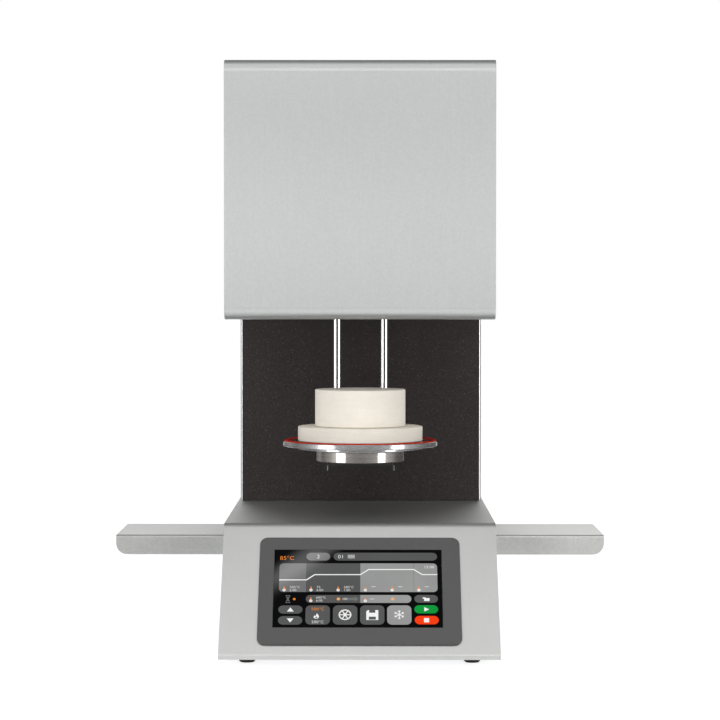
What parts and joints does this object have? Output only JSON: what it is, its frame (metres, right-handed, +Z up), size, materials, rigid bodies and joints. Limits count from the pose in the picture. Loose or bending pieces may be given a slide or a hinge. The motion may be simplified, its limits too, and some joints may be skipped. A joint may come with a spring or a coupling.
{
  "type": "dental firing furnace",
  "caption": "Bench furnace for dental ceramics: sloped touch display on a folded base, column, metal hood with a heated chamber, and a lift that raises the firing socket into it.",
  "frame": {"origin": "middle of the object's bounding box, on the surface that the feet stand on", "axes": "+Z up, -Y towards the user and the display, +X to the user's right"},
  "size_m": [0.4626, 0.45, 0.5549],
  "materials": {
    "aluminium": "turned, satin",
    "bezel_grey": "smooth matt",
    "black_coat": "satin black",
    "black_plastic": "satin",
    "brass": "turned",
    "bronze": "sintered",
    "chrome": "ground and plated",
    "circuit_board": "satin",
    "clear_hose": "satin",
    "copper_winding": "iron core with wound copper",
    "fibre": "matt fibre",
    "galvanised": "zinc plated",
    "heating_wire": "oxidised",
    "porcelain": "gloss",
    "rubber": "matt",
    "satin_sheet": "satin, fine grain",
    "screen_glass": "gloss",
    "silicone": "satin",
    "speckled_coat": "fine-textured powder coat with light speckle"
  },
  "bodies": {
    "furnace": {"base_housing": "satin_sheet", "base_plate": "galvanised", "bush_left": "bronze", "bush_right": "bronze", "ceiling": "fibre", "chamber_can": "galvanised", "chamber_lid": "galvanised", "column_panel": "speckled_coat", "control_board": "circuit_board", "display_bezel": "bezel_grey", "display_tray": "galvanised", "drive_frame": "galvanised", "foot_front_left": "rubber", "foot_front_right": "rubber", "foot_rear_left": "rubber", "foot_rear_right": "rubber", "fuse_left": "black_plastic", "fuse_right": "black_plastic", "guide_block": "aluminium", "heating_coil": "heating_wire", "hood_cover": "satin_sheet", "hood_side_left": "satin_sheet", "hood_side_right": "satin_sheet", "left_shelf": "satin_sheet", "lift_motor": "black_coat", "mains_inlet": "black_plastic", "mains_switch_frame": "black_plastic", "mouth_ring": "fibre", "muffle": "fibre", "power_board": "circuit_board", "pump_outlet": "black_plastic", "rear_cover": "speckled_coat", "right_shelf": "satin_sheet", "seal_plate": "aluminium", "terminal_lower": "porcelain", "terminal_upper": "porcelain", "thermocouple": "porcelain", "touchscreen": "screen_glass", "transformer": "copper_winding", "transformer_clamp": "galvanised", "usb_socket": "galvanised", "vacuum_hose": "clear_hose", "vacuum_nipple": "brass"},
    "lift": {"lift_arm": "black_coat", "rod_clamp": "black_coat", "lift_collar": "aluminium", "lift_flange": "aluminium", "lift_seal": "silicone", "lower_insulation": "fibre", "firing_socket": "fibre", "guide_rod_left": "chrome", "guide_rod_right": "chrome", "crosshead": "aluminium", "spindle_nut": "bronze"},
    "spindle": {"spindle": "chrome"},
    "switch_rocker": {"mains_switch_rocker": "black_plastic"}
  },
  "joints": [
    {"name": "lift_slide", "type": "slide", "parent": "furnace", "child": "lift", "axis": [0, 0, 1], "range_m": [0, 0.1191]},
    {"name": "spindle_turn", "type": "hinge", "parent": "furnace", "child": "spindle", "pos_m": [0, 0.07, 0.3585], "axis": [0, 0, 1], "range_deg": [0, 10720]},
    {"name": "mains_switch_tip", "type": "hinge", "parent": "furnace", "child": "switch_rocker", "pos_m": [0.08763, 0.2065, 0.05551], "axis": [1, 0, 0], "range_deg": [-24, 0]}
  ],
  "couplings": [
    {"joint": "spindle_turn", "follows": "lift_slide", "rad_per_m": 1570.8}
  ]
}
